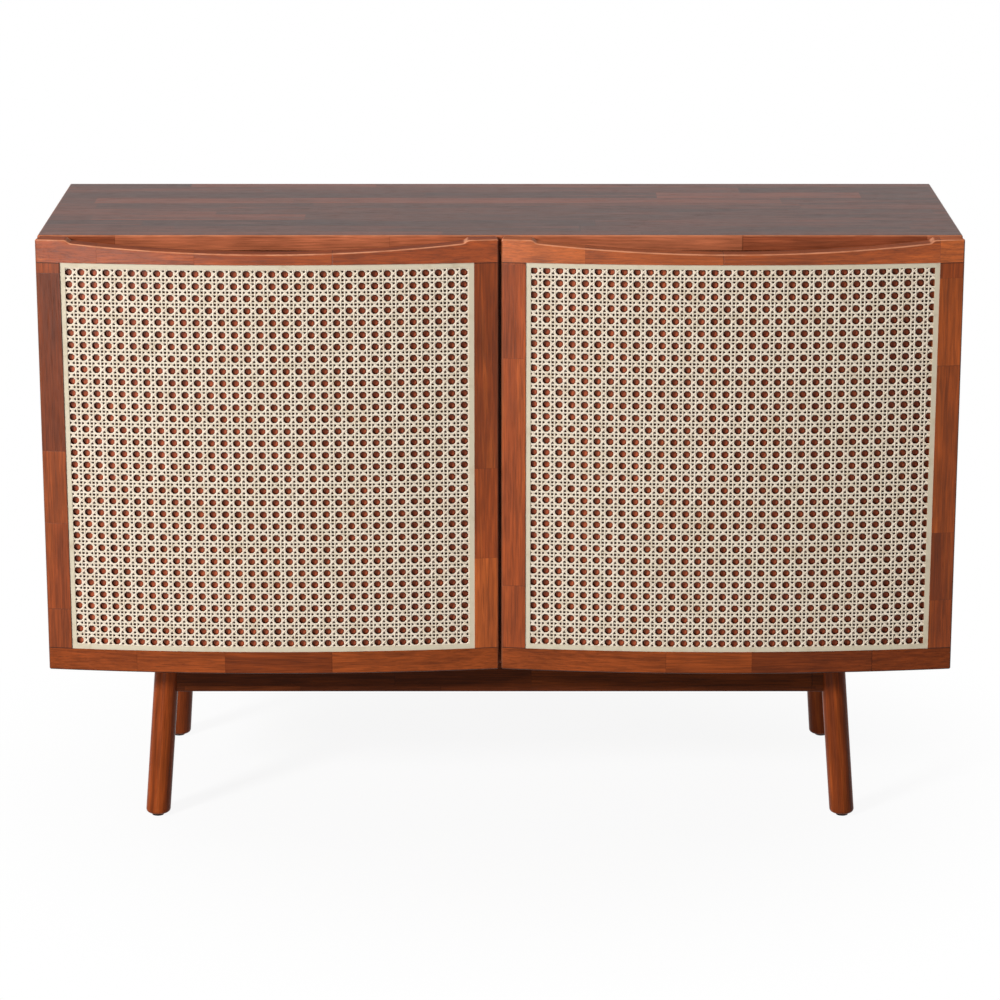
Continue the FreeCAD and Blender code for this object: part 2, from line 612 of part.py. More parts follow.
add("top_panel", top_panel)
add("bottom_panel", bottom_panel)
add("left_side_panel", left_side)
add("right_side_panel", mirrored(left_side))
add("centre_divider", divider)
add("case_dowels", *case_dowels)
add("back_panel", back_panel)
add("back_panel_screws", *back_screws)
add("left_shelf", left_shelf)
add("right_shelf", mirrored(left_shelf))
add("shelf_pins", *shelf_pins)
add("front_base_rail", long_rails[-1])
add("back_base_rail", long_rails[1])
add("left_base_rail", left_rail)
add("right_base_rail", mirrored(left_rail))
add("base_screws", *base_screws)
for name, leg in legs.items():
    add(name, leg)
add("leg_glides", *glides)
add("hinge_pins", *pins, *[mirrored(pin) for pin in pins])
add("cabinet_hinge_screws", *case_hinge_screws, *[mirrored(item) for item in case_hinge_screws])
add("magnetic_catches", catch, mirrored(catch))
add("door_bumpers", *bumpers)

left_pieces = {
    "hinge_cabinet_leaves": case_leaves,
    "door_top_rail": [top_rail],
    "door_bottom_rail": [bottom_rail],
    "door_hinge_stile": [hinge_stile],
    "door_meeting_stile": [meeting_stile],
    "door_dowels": door_dowels,
    "door_backing_panel": [backing_panel],
    "door_cane_webbing": [cane],
    "door_cane_border": [cane_border],
    "door_hinge_leaves": door_leaves,
    "door_screws": door_screws,
    "door_strike_plate": [strike],
}
for name, pieces in left_pieces.items():
    add("left_" + name, *pieces)
    add("right_" + name, *[mirrored(piece) for piece in pieces])

os.makedirs("parts", exist_ok=True)
for name, shape in parts.items():
    shape.exportStep("parts/" + name + ".step")
print(len(parts), "nodes, overall", WIDTH, "x", round(overall_depth, 2), "x", height)
print("hinge axis", round(hinge_x, 3), round(hinge_y, 3), "case", round(front_y, 3), round(back_y, 3))
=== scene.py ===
import math

import bmesh
import bpy
from mathutils import Color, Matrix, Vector


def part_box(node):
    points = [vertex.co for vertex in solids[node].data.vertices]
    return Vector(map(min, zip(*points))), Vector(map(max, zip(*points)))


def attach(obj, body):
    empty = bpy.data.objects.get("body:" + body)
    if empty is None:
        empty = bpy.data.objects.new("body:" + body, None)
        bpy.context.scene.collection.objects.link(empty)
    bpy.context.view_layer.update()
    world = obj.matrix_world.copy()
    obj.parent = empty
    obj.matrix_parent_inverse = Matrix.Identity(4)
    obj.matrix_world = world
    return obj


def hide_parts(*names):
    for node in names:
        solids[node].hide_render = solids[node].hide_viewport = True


# A record cabinet: a solid-wood case on a splayed-leg base, with two bowed doors of cane webbing.
# Metres, in the same frame as the solids: the floor is z = 0, +X is right and the doors face -Y.
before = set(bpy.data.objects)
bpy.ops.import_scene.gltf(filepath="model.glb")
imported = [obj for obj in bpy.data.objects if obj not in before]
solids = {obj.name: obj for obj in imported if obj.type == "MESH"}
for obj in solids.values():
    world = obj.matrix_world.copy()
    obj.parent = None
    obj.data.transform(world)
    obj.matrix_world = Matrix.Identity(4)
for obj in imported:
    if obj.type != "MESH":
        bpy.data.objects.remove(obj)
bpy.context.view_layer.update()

# Legs: four straight round legs, each turned from one stave of hardwood and rounded at the foot.
# They splay outwards and to the front or back, and the base rails' tenons are glued into them.
# All the cabinet's wood is built from such staves under one satin lacquer, which is made here first.
LEG_SPLAY_SIDEWAYS = 4.4
LEG_SPLAY_FORWARD = 5.0
LEG_CUT = 11.0
LEG_STAVE_LENGTH = 1.6
LEG_SHINE = 0.07


def colour(red, green, blue):
    """A colour from its red, green and blue as shown on a screen, each 0 to 255."""
    return (*Color((red / 255, green / 255, blue / 255)).from_srgb_to_scene_linear(), 1.0)


WOOD_TONES = (colour(72, 31, 14), colour(132, 59, 22), colour(168, 85, 35))
# A painted highlight on the arrises that face up, laid on in rubbed-looking patches
WORN_EDGE_HIGHLIGHT = colour(222, 150, 112)
# Dark for glue lines, and for painted shade on the arrises that do not face up
DARK_GLUE_AND_SHADE = colour(38, 16, 7)
STAVE_LENGTH = 0.34
STAVE_WIDTH = 0.042
ONE_STAVE_ACROSS = 0.4


def add_node(tree, kind, inputs, **settings):
    """Adds a shader node, with a value or another node's output for each of its sockets named in inputs."""
    made = tree.nodes.new("ShaderNode" + kind)
    for setting, value in settings.items():
        setattr(made, setting, value)
    for socket, value in inputs.items():
        if isinstance(value, bpy.types.NodeSocket):
            tree.links.new(value, made.inputs[socket])
        else:
            made.inputs[socket].default_value = value
    return made


def sum_up(tree, operation, *values):
    """One step of arithmetic on values or node outputs."""
    return add_node(tree, "Math", dict(enumerate(values)), operation=operation).outputs[0]


def blended(tree, factor, first, second):
    """A colour between two colours, which a mixing node takes at its seventh and eighth sockets."""
    return add_node(tree, "Mix", {0: factor, 6: first, 7: second}, data_type="RGBA").outputs[2]


def between(tree, value, low, high):
    """How far a value has come from low to high, smoothly, from 0 to 1."""
    inputs = {"Value": value, "From Min": low, "From Max": high}
    return add_node(tree, "MapRange", inputs, interpolation_type="SMOOTHSTEP").outputs[0]


def clouds(tree, place, scale, detail):
    """Even noise, alike in all directions."""
    inputs = {"Vector": place, "Scale": scale, "Detail": detail}
    return add_node(tree, "TexNoise", inputs).outputs["Fac"]


def streaks(tree, place, scale, detail, distortion=0.0):
    """Noise stretched along the grain, whose scale is given along, across and through the stave."""
    stretched = add_node(tree, "VectorMath", {0: place, 1: scale}, operation="MULTIPLY").outputs[0]
    inputs = {"Vector": stretched, "Scale": 1.0, "Detail": detail, "Distortion": distortion}
    return add_node(tree, "TexNoise", inputs).outputs["Fac"]


def start_group(name, inputs, outputs):
    """A shader node group with its named sockets; gives the group, its entry and its result."""
    group = bpy.data.node_groups.new(name, "ShaderNodeTree")
    for socket, (kind, value) in inputs.items():
        made = group.interface.new_socket(socket, in_out="INPUT", socket_type="NodeSocket" + kind)
        made.default_value = value
    for socket, kind in outputs.items():
        group.interface.new_socket(socket, in_out="OUTPUT", socket_type="NodeSocket" + kind)
    entry = group.nodes.new("NodeGroupInput").outputs
    result = group.nodes.new("NodeGroupOutput").inputs
    return group, entry, result


# Staves butt end to end in rows. Each row starts at its own place, and its staves differ in length
stave_wood, entry, result = start_group(
    "stave_wood",
    {
        "Place": ("Vector", (0.0, 0.0, 0.0)),
        "Stave Length": ("Float", STAVE_LENGTH),
        "Stave Width": ("Float", STAVE_WIDTH),
        "Seed": ("Float", 0.0),
        "Dark": ("Color", WOOD_TONES[0]),
        "Middle": ("Color", WOOD_TONES[1]),
        "Light": ("Color", WOOD_TONES[2]),
    },
    {"Color": "Color", "Roughness": "Float", "Height": "Float"},
)
tree = stave_wood
ROWS_PER_SEED = 0.37
ROW_SEEDS_PER_SEED = 3.1
ROW_START_SPREAD = 7.3
SWAY_BY_ROW = 1.9
SWAY_BY_STAVE = 2.3
SWAY = 0.3
place = add_node(tree, "SeparateXYZ", {0: entry["Place"]}).outputs
rows = sum_up(tree, "DIVIDE", place["Y"], entry["Stave Width"])
rows = sum_up(tree, "MULTIPLY_ADD", entry["Seed"], ROWS_PER_SEED, rows)
row = sum_up(tree, "FLOOR", rows)
row_seed = sum_up(tree, "MULTIPLY_ADD", entry["Seed"], ROW_SEEDS_PER_SEED, row)
row_start = add_node(tree, "TexWhiteNoise", {"W": row_seed}, noise_dimensions="1D").outputs["Value"]
run = sum_up(tree, "DIVIDE", place["X"], entry["Stave Length"])
run = sum_up(tree, "MULTIPLY_ADD", row_start, ROW_START_SPREAD, run)
sway = sum_up(tree, "MULTIPLY_ADD", row, SWAY_BY_ROW, sum_up(tree, "MULTIPLY", run, SWAY_BY_STAVE))
run = sum_up(tree, "MULTIPLY_ADD", sum_up(tree, "SINE", sway), SWAY, run)
stave = add_node(tree, "CombineXYZ", {0: sum_up(tree, "FLOOR", run), 1: row, 2: entry["Seed"]}).outputs[0]
stave = add_node(tree, "TexWhiteNoise", {"Vector": stave}, noise_dimensions="3D").outputs


def from_joint(tree, count, pitch):
    """How far a place is from the nearest joint, where joints fall at each whole number of the count."""
    off_middle = sum_up(tree, "ABSOLUTE", sum_up(tree, "SUBTRACT", sum_up(tree, "FRACT", count), 0.5))
    return sum_up(tree, "MULTIPLY", sum_up(tree, "SUBTRACT", 0.5, off_middle), pitch)


# Glue lines: hair lines along the rows and at the butted ends
GLUE_LINE = (0.0005, 0.0001)
row_line = from_joint(tree, rows, entry["Stave Width"])
end_line = from_joint(tree, run, entry["Stave Length"])
glue = between(tree, sum_up(tree, "MINIMUM", row_line, end_line), *GLUE_LINE)

# Grain: each stave has its own piece of figure, with fibres, soft mottling, growth bands and open pores
FIGURE_SPREAD = (3.0, 3.0, 3.0)
FIBRE_SCALE = (20.0, 480.0, 480.0)
MOTTLE_SCALE = (14.0, 30.0, 30.0)
BAND_SCALE = (2.6, 58.0, 58.0)
PORE_SCALE = (38.0, 1500.0, 1500.0)
PORE_EDGE = (0.60, 0.70)
shifted = add_node(tree, "VectorMath", {0: stave["Color"], 1: FIGURE_SPREAD, 2: entry["Place"]},
                   operation="MULTIPLY_ADD").outputs[0]
fibre = streaks(tree, shifted, FIBRE_SCALE, detail=6.0, distortion=0.4)
mottle = streaks(tree, shifted, MOTTLE_SCALE, detail=2.0)
bands = streaks(tree, shifted, BAND_SCALE, detail=4.0, distortion=1.2)
pores = between(tree, streaks(tree, shifted, PORE_SCALE, detail=1.0), *PORE_EDGE)

# Colour: a stave's own tone, then its bands, then the shade of fibres, mottling, pores and glue
DARKER_STAVES = (-0.35, 0.40)
PALER_STAVES = (0.5, 1.25)
DARK_BANDS = (0.48, 0.68)
DARK_BAND_SHARE = 0.38
PALE_BANDS = (0.46, 0.30)
PALE_BAND_SHARE = 0.35
FIBRE_EDGE = (0.28, 0.72)
FIBRE_SHADE = (0.50, 0.74)
MOTTLE_SHADE = (0.80, 0.60)
PORE_SHADE = (-0.28, 1.0)
GLUE_SHADE = (-0.38, 1.0)
tint = blended(tree, between(tree, stave["Value"], *DARKER_STAVES), entry["Dark"], entry["Middle"])
tint = blended(tree, between(tree, stave["Value"], *PALER_STAVES), tint, entry["Light"])
dark_band = sum_up(tree, "MULTIPLY", between(tree, bands, *DARK_BANDS), DARK_BAND_SHARE)
tint = blended(tree, dark_band, tint, entry["Dark"])
pale_band = sum_up(tree, "MULTIPLY", between(tree, bands, *PALE_BANDS), PALE_BAND_SHARE)
tint = blended(tree, pale_band, tint, entry["Light"])
shade = sum_up(tree, "MULTIPLY_ADD", between(tree, fibre, *FIBRE_EDGE), *FIBRE_SHADE)
for mark, (depth, level) in ((mottle, MOTTLE_SHADE), (pores, PORE_SHADE), (glue, GLUE_SHADE)):
    shade = sum_up(tree, "MULTIPLY", shade, sum_up(tree, "MULTIPLY_ADD", mark, depth, level))
shaded = add_node(tree, "VectorMath", {0: tint, "Scale": shade}, operation="SCALE").outputs[0]
tree.links.new(shaded, result["Color"])

# Surface: fibres stand up a little, pores and glue lines are sunk, and fibres and pores are duller
FIBRE_DULLNESS = (0.14, 0.24)
PORE_DULLNESS = 0.12
FIBRE_RISE = 0.35
PORE_RISE = -0.5
GLUE_RISE = -0.8
dullness = sum_up(tree, "MULTIPLY_ADD", fibre, *FIBRE_DULLNESS)
tree.links.new(sum_up(tree, "MULTIPLY_ADD", pores, PORE_DULLNESS, dullness), result["Roughness"])
relief = sum_up(tree, "MULTIPLY_ADD", pores, PORE_RISE, sum_up(tree, "MULTIPLY", fibre, FIBRE_RISE))
tree.links.new(sum_up(tree, "MULTIPLY_ADD", glue, GLUE_RISE, relief), result["Height"])

# Edge marks: the arrises that face up are painted paler as a highlight, in patches like rubbing, and the
# others are painted dark as shade
edge_highlight_and_shade, entry, result = start_group(
    "edge_highlight_and_shade",
    {"Place": ("Vector", (0.0, 0.0, 0.0)), "Facing": ("Vector", (0.0, 0.0, 1.0))},
    {"Worn Highlight": "Float", "Arris Shade": "Float"},
)
tree = edge_highlight_and_shade
ARRIS = (0.26, 0.50)
FACING_UP = (-0.3, 0.5)
RUB_SCALE = 45.0
RUB_EDGE = (0.30, 0.62)
RUB_SHARE = (0.5, 0.5)
facing = add_node(tree, "VectorMath", {0: entry["Facing"]}, operation="ABSOLUTE").outputs[0]
facing = add_node(tree, "SeparateXYZ", {0: facing}).outputs
larger = sum_up(tree, "MAXIMUM", facing["X"], facing["Y"])
smaller = sum_up(tree, "MINIMUM", facing["X"], facing["Y"])
second = sum_up(tree, "MAXIMUM", smaller, sum_up(tree, "MINIMUM", larger, facing["Z"]))
arris = between(tree, second, *ARRIS)
upward = between(tree, add_node(tree, "SeparateXYZ", {0: entry["Facing"]}).outputs["Z"], *FACING_UP)
# Painted shade: the arrises that do not face up are marked to be darkened
arris_shade = sum_up(tree, "MULTIPLY", arris, sum_up(tree, "SUBTRACT", 1.0, upward))
tree.links.new(arris_shade, result["Arris Shade"])
rubbed = between(tree, clouds(tree, entry["Place"], RUB_SCALE, detail=3.0), *RUB_EDGE)
rubbed = sum_up(tree, "MULTIPLY_ADD", rubbed, *RUB_SHARE)
# Painted highlight: the upward arrises, broken into rubbed-looking patches
worn_highlight = sum_up(tree, "MULTIPLY", sum_up(tree, "MULTIPLY", arris, upward), rubbed)
tree.links.new(worn_highlight, result["Worn Highlight"])

# Dulled tops: the lacquer of a level face has lost some of its gloss
dulled_top, entry, result = start_group(
    "dulled_top",
    {"Facing": ("Vector", (0.0, 0.0, 1.0)), "Roughness": ("Float", 0.3)},
    {"Roughness": "Float"},
)
tree = dulled_top
LEVEL_FACE = (0.5, 0.8)
LEVEL_DULLNESS = 0.5
level = between(tree, add_node(tree, "SeparateXYZ", {0: entry["Facing"]}).outputs["Z"], *LEVEL_FACE)
tree.links.new(sum_up(tree, "MULTIPLY_ADD", level, LEVEL_DULLNESS, entry["Roughness"]), result["Roughness"])

# Lit edge: a strip of other staves along an edge, up to a limit, painted paler as painted light
lit_edge_strip, entry, result = start_group(
    "lit_edge_strip",
    {
        "Board": ("Color", WOOD_TONES[1]),
        "Strip": ("Color", WOOD_TONES[2]),
        "Across": ("Float", 0.0),
        "Limit": ("Float", 0.0),
    },
    {"Color": "Color"},
)
tree = lit_edge_strip
in_strip = sum_up(tree, "LESS_THAN", entry["Across"], entry["Limit"])
tree.links.new(blended(tree, in_strip, entry["Board"], entry["Strip"]), result["Color"])

# Butt line: the dark glue line at the two ends of an upright that stands between rails
butt_line, entry, result = start_group(
    "butt_line",
    {
        "Wood": ("Color", WOOD_TONES[1]),
        "Height": ("Float", 0.0),
        "Foot": ("Float", 0.0),
        "Head": ("Float", 1.0),
    },
    {"Color": "Color"},
)
tree = butt_line
BUTT_LINE = (0.0016, 0.0008)
BUTT_DARKNESS = 0.85
above_foot = sum_up(tree, "SUBTRACT", entry["Height"], entry["Foot"])
below_head = sum_up(tree, "SUBTRACT", entry["Head"], entry["Height"])
seam = between(tree, sum_up(tree, "MINIMUM", above_foot, below_head), *BUTT_LINE)
seam = sum_up(tree, "MULTIPLY", seam, BUTT_DARKNESS)
tree.links.new(blended(tree, seam, entry["Wood"], DARK_GLUE_AND_SHADE), result["Color"])


def start_material(name):
    """An empty material with its shader; gives the tree, the shader and the object's own coordinates."""
    made = bpy.data.materials.new(name)
    made.use_nodes = True
    tree = made.node_tree
    shader = tree.nodes["Principled BSDF"]
    place = add_node(tree, "TexCoord", {}).outputs["Object"]
    return made, tree, shader, place


def use_group(tree, group, **inputs):
    """Places a node group, with underscores for the spaces in its socket names."""
    inputs = {socket.replace("_", " "): value for socket, value in inputs.items()}
    return add_node(tree, "Group", inputs, node_tree=group).outputs


def raise_relief(tree, shader, height, strength, depth):
    """Lets a height on the surface catch the light."""
    bump = add_node(tree, "Bump", {"Strength": strength, "Distance": depth, "Height": height})
    tree.links.new(bump.outputs[0], shader.inputs["Normal"])


LIT_EDGE_STAVES = (0.24, 1.0)
LIT_EDGE_SEED_STEP = 0.5
WOOD_RELIEF = (0.35, 0.0006)


def lacquered_wood(name, axes, seed, length=STAVE_LENGTH, width=STAVE_WIDTH, turn=(0, 0, 0), tones=WOOD_TONES,
                   shine=0.14, edge_highlight=0.5, arris_shade=0.8, lit_edge=None, butts=None, dull_top=False):
    """Stave-built wood under satin lacquer; axes names the ways along, across and through the grain.

    The seed picks the timber that the staves are cut from.
    A lit edge is an axis, a limit and tones: a strip of other staves painted on up to that limit, as painted
    light.
    Butts are the heights of an upright's two ends, where a dark glue line shows."""
    made, tree, shader, place = start_material(name)
    radians = [math.radians(angle) for angle in turn]
    straight = add_node(tree, "Mapping", {"Vector": place, "Rotation": radians}).outputs[0]
    ways = add_node(tree, "SeparateXYZ", {0: straight}).outputs
    grain = add_node(tree, "CombineXYZ", {i: ways[axis] for i, axis in enumerate(axes)}).outputs[0]

    def staves(seed, length, width, tones):
        dark, middle, light = tones
        return use_group(tree, stave_wood, Place=grain, Seed=seed, Stave_Length=length, Stave_Width=width,
                         Dark=dark, Middle=middle, Light=light)

    wood = staves(seed, length, width, tones)
    shown = wood["Color"]
    if lit_edge:
        axis, limit, strip_tones = lit_edge
        # Painted light: paler staves along the edge
        strip = staves(seed + LIT_EDGE_SEED_STEP, *LIT_EDGE_STAVES, strip_tones)["Color"]
        with_lit_edge = use_group(tree, lit_edge_strip, Board=shown, Strip=strip, Across=ways[axis], Limit=limit)
        shown = with_lit_edge["Color"]
    if butts:
        foot, head = butts
        shown = use_group(tree, butt_line, Wood=shown, Height=ways["Z"], Foot=foot, Head=head)["Color"]
    facing = add_node(tree, "TexCoord", {}).outputs["Normal"]
    edges = use_group(tree, edge_highlight_and_shade, Place=place, Facing=facing)
    # Painted highlight on the upward arrises
    shown = blended(tree, sum_up(tree, "MULTIPLY", edges["Worn Highlight"], edge_highlight), shown, WORN_EDGE_HIGHLIGHT)
    # Painted shade on the arrises that do not face up
    shown = blended(tree, sum_up(tree, "MULTIPLY", edges["Arris Shade"], arris_shade), shown, DARK_GLUE_AND_SHADE)
    tree.links.new(shown, shader.inputs["Base Color"])
    roughness = wood["Roughness"]
    if dull_top:
        roughness = use_group(tree, dulled_top, Facing=facing, Roughness=roughness)["Roughness"]
    tree.links.new(roughness, shader.inputs["Roughness"])
    shader.inputs["Specular IOR Level"].default_value = shine
    raise_relief(tree, shader, wood["Height"], *WOOD_RELIEF)
    return made


def dress(node, material):
    """Gives a solid its finish."""
    solids[node].data.materials.clear()
    solids[node].data.materials.append(material)


for number, (side, end) in enumerate((s, e) for s in ("left", "right") for e in ("front", "back")):
    lean_side = LEG_SPLAY_SIDEWAYS if side == "left" else -LEG_SPLAY_SIDEWAYS
    lean_end = LEG_SPLAY_FORWARD if end == "back" else -LEG_SPLAY_FORWARD
    leg = f"{end}_{side}_leg"
    dress(leg, lacquered_wood(leg + "_wood", "ZXY", LEG_CUT + number, LEG_STAVE_LENGTH, ONE_STAVE_ACROSS,
                              turn=(-lean_end, -lean_side, 0), shine=LEG_SHINE, edge_highlight=0.0, arris_shade=0.0))

# Base rails: four straight rails of the same staves, tenoned into the legs under the case.
# The long ones are painted dark as the shade under the case, with a narrow paler strip of other staves along
# the lower edge as painted light.
# The side ones run front to back, and all the lower edges are eased with sandpaper.
# Painted shade for the long rails, and painted light for their lower strip
SHADED_RAIL_TONES = (colour(48, 20, 7), colour(80, 35, 11), colour(102, 47, 15))
LIT_STRIP_TONES = (colour(62, 27, 12), colour(84, 38, 16), colour(110, 52, 22))
STRIP_HEIGHT = 0.0075
DULL_SHINE = 0.05
LONG_RAIL_CUT = 21.0
LONG_RAIL_STAVES = (0.30, 0.2)
# A weaker painted highlight on the long rails' upward arrises
LONG_RAIL_EDGE_HIGHLIGHT = 0.2
SIDE_RAIL_CUT = 23.0
SIDE_RAIL_STAVES = (0.5, 0.06)
for number, node in enumerate(("front_base_rail", "back_base_rail")):
    strip_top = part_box(node)[0].z + STRIP_HEIGHT
    dress(node, lacquered_wood(node + "_wood", "XZY", LONG_RAIL_CUT + number, *LONG_RAIL_STAVES,
                               tones=SHADED_RAIL_TONES, shine=DULL_SHINE, edge_highlight=LONG_RAIL_EDGE_HIGHLIGHT,
                               lit_edge=("Z", strip_top, LIT_STRIP_TONES)))
for number, node in enumerate(("left_base_rail", "right_base_rail")):
    dress(node, lacquered_wood(node + "_wood", "YZX", SIDE_RAIL_CUT + number, *SIDE_RAIL_STAVES))

# Glides: black nylon pads with a stem pressed into the foot of each leg.
# Injection moulded, matt, with a little scuffing from the floor.
NYLON_BLACK = colour(9, 8, 8)
NYLON_SCUFFED = colour(30, 29, 28)
NYLON_GLOSS = 0.5
MOULD_GRAIN = 900.0
MOULD_RELIEF = (0.2, 0.0002)
MOULD_SHINE = 0.05
SCUFF_SCALE = 60.0
SCUFF_EDGE = (0.52, 0.75)
SCUFF_DULLNESS = 0.25

moulded, entry, result = start_group(
    "moulded_surface",
    {
        "Place": ("Vector", (0.0, 0.0, 0.0)),
        "Colour": ("Color", NYLON_BLACK),
        "Scuffed": ("Color", NYLON_SCUFFED),
        "Grain": ("Float", MOULD_GRAIN),
        "Gloss": ("Float", NYLON_GLOSS),
    },
    {"Color": "Color", "Roughness": "Float", "Height": "Float"},
)
speckle = clouds(moulded, entry["Place"], entry["Grain"], detail=3.0)
marks = between(moulded, clouds(moulded, entry["Place"], SCUFF_SCALE, detail=4.0), *SCUFF_EDGE)
scuffs = sum_up(moulded, "MULTIPLY", marks, speckle)
moulded.links.new(blended(moulded, scuffs, entry["Colour"], entry["Scuffed"]), result["Color"])
roughness = sum_up(moulded, "MULTIPLY_ADD", scuffs, SCUFF_DULLNESS, entry["Gloss"])
moulded.links.new(roughness, result["Roughness"])
moulded.links.new(speckle, result["Height"])


def scuffed_surface(name, base, scuffed, gloss, grain, relief):
    """A material with fine texture and a few scuffs; gives it and its shader."""
    made, tree, shader, place = start_material(name)
    surface = use_group(tree, moulded, Place=place, Colour=base, Scuffed=scuffed, Gloss=gloss, Grain=grain)
    tree.links.new(surface["Color"], shader.inputs["Base Color"])
    tree.links.new(surface["Roughness"], shader.inputs["Roughness"])
    raise_relief(tree, shader, surface["Height"], *relief)
    return made, shader


def moulded_finish(name, base, scuffed, gloss, grain=MOULD_GRAIN):
    """A plain moulded or cast surface."""
    made, shader = scuffed_surface(name, base, scuffed, gloss, grain, MOULD_RELIEF)
    shader.inputs["Specular IOR Level"].default_value = MOULD_SHINE
    return made


dress("leg_glides", moulded_finish("glide_nylon", NYLON_BLACK, NYLON_SCUFFED, NYLON_GLOSS))

# Case: top, bottom and two sides of edge-glued staves, doweled at the corners, with a centre divider.
# The staves run along the top and bottom and up the sides, and the outer arrises are rounded over.
# The top's face takes darker tones as painted shade, and its front edge paler ones as painted light and
# sheen; beech dowels hold the boards and stay hidden inside them.
SHADED_TOP_TONES = (colour(40, 19, 12), colour(94, 43, 21), colour(144, 68, 36))
LIT_TOP_EDGE_TONES = (colour(122, 60, 36), colour(160, 84, 54), colour(184, 108, 74))
TOP_EDGE_DEPTH = 0.002
TOP_CUT = 31.0
LEVEL_STAVES = (0.42, 0.040)
UPRIGHT_STAVES = (0.36, 0.042)
top_edge_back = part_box("top_panel")[0].y + TOP_EDGE_DEPTH
dress("top_panel", lacquered_wood("top_panel_wood", "XYZ", TOP_CUT, *LEVEL_STAVES, tones=SHADED_TOP_TONES,
                                  shine=DULL_SHINE, lit_edge=("Y", top_edge_back, LIT_TOP_EDGE_TONES)))
for node, finish_name, axes, seed, staves in (
    ("bottom_panel", "bottom_panel_wood", "XYZ", 32.0, LEVEL_STAVES),
    ("left_side_panel", "left_side_wood", "ZYX", 33.0, UPRIGHT_STAVES),
    ("right_side_panel", "right_side_wood", "ZYX", 34.0, UPRIGHT_STAVES),
    ("centre_divider", "divider_wood", "ZYX", 35.0, UPRIGHT_STAVES),
):
    dress(node, lacquered_wood(finish_name, axes, seed, *staves))
BEECH_TONES = (colour(176, 134, 90), colour(206, 168, 122), colour(220, 188, 146))
DOWEL_CUT = 36.0
DOWEL_STAVES = (0.2, 0.1)
dowel_wood = lacquered_wood("dowel_beech", "ZXY", DOWEL_CUT, *DOWEL_STAVES, tones=BEECH_TONES)
dress("case_dowels", dowel_wood)

# Back panel: a thin veneered board let into a rebate and held by countersunk steel screws.
# The veneer is laid in upright leaves of the same red-brown wood, under a thin lacquer.
# The screws are plated, and so are those of the base and the hinges.
VENEER_TONES = (colour(104, 50, 28), colour(138, 68, 38), colour(160, 84, 48))
VENEER_LENGTH = 3.0
VENEER_LEAF = 0.17
BACK_CUT = 41.0
dress("back_panel", lacquered_wood("back_panel_veneer", "ZXY", BACK_CUT, VENEER_LENGTH, VENEER_LEAF,
                                   tones=VENEER_TONES))

STEEL = colour(148, 148, 146)
STEEL_DULL = colour(104, 103, 100)
STEEL_GLOSS = 0.42
METAL_GRAIN = 1400.0
METAL_RELIEF = (0.15, 0.0001)


def metal_finish(name, bright, dull, gloss):
    """A plated metal surface, drawn or stamped, with dulled patches."""
    made, shader = scuffed_surface(name, bright, dull, gloss, METAL_GRAIN, METAL_RELIEF)
    shader.inputs["Metallic"].default_value = 1.0
    return made


screw_steel = metal_finish("screw_steel", STEEL, STEEL_DULL, STEEL_GLOSS)
for held in ("back_panel", "base", "cabinet_hinge", "left_door", "right_door"):
    dress(held + "_screws", screw_steel)

# Shelves: one loose board of edge-glued staves in each compartment, with an eased front edge.
# Each rests on four steel pins in rows of bored holes, so that it can be set higher or lower.
SHELF_CUT = 51.0
SHELF_STAVES = (0.33, 0.042)
for number, side in enumerate(("left", "right")):
    dress(side + "_shelf", lacquered_wood(side + "_shelf_wood", "XYZ", SHELF_CUT + number, *SHELF_STAVES))
dress("shelf_pins", screw_steel)

# Door frames: two rails and two stiles each, bent to the bow, butted and doweled at the corners.
# The rails run the full width, the stiles stand between them, and the top rail is scooped for the fingers.
# Each member is one run of staves glued end to end. Its upward arrises take a paler painted highlight and the
# others painted shade.
# The top rails and meeting stiles take paler tones, partly a painted sheen, and the bottom rails darker ones
# as painted shade.
DOORS = ("left_door", "right_door")
# Painted shade: the bottom rails' darker tones. Partly painted sheen: the paler tones of top rails and
# meeting stiles
SHADED_BOTTOM_RAIL_TONES = (colour(78, 34, 15), colour(122, 54, 20), colour(148, 71, 30))
PALE_AND_SHEEN_TONES = (colour(80, 35, 17), colour(146, 66, 26), colour(184, 94, 40))
FRAME_EDGE_HIGHLIGHT = 0.8
for number, door in enumerate(DOORS):
    for member, axes, seed, length, shine, tones in (
        ("_top_rail", "XZY", 61.0, 0.20, 0.32, PALE_AND_SHEEN_TONES),
        ("_bottom_rail", "XZY", 63.0, 0.18, 0.10, SHADED_BOTTOM_RAIL_TONES),
        ("_hinge_stile", "ZXY", 65.0, 0.15, 0.20, WOOD_TONES),
        ("_meeting_stile", "ZXY", 67.0, 0.20, 0.20, PALE_AND_SHEEN_TONES),
    ):
        node = door + member
        foot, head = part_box(node)
        butts = (foot.z, head.z) if member.endswith("stile") else None
        dress(node, lacquered_wood(node + "_wood", axes, seed + number, length, ONE_STAVE_ACROSS, tones=tones,
                                   shine=shine, edge_highlight=FRAME_EDGE_HIGHLIGHT, butts=butts, dull_top=True))
    dress(door + "_dowels", dowel_wood)

# Cane webbing: split cane woven in pairs up and across, with single strands both ways on the slant.
# The pairs cross at the corners of each square and the slanting strands at the middles of its sides,
# which leaves a round hole in it. The sheet is let into the door frame and follows its bow.
DOOR_WIDTH = 0.5985
DOOR_BOW = 0.021
STILE_FACE = 0.032
CANE_DEPTH = 0.00365
CANE_CLEARANCE = 0.0001
STRAND_WIDTH = 0.0018
SLANT_WIDTH = 0.0020
STRAND_THICKNESS = 0.0015
STRAND_CROWN = 0.00008
STEPS_PER_CELL = 4
FEWEST_STEPS = 2
STEPS_ACROSS = 2
CANE_PALE = colour(230, 216, 197)
CANE_DEEP = colour(200, 180, 152)
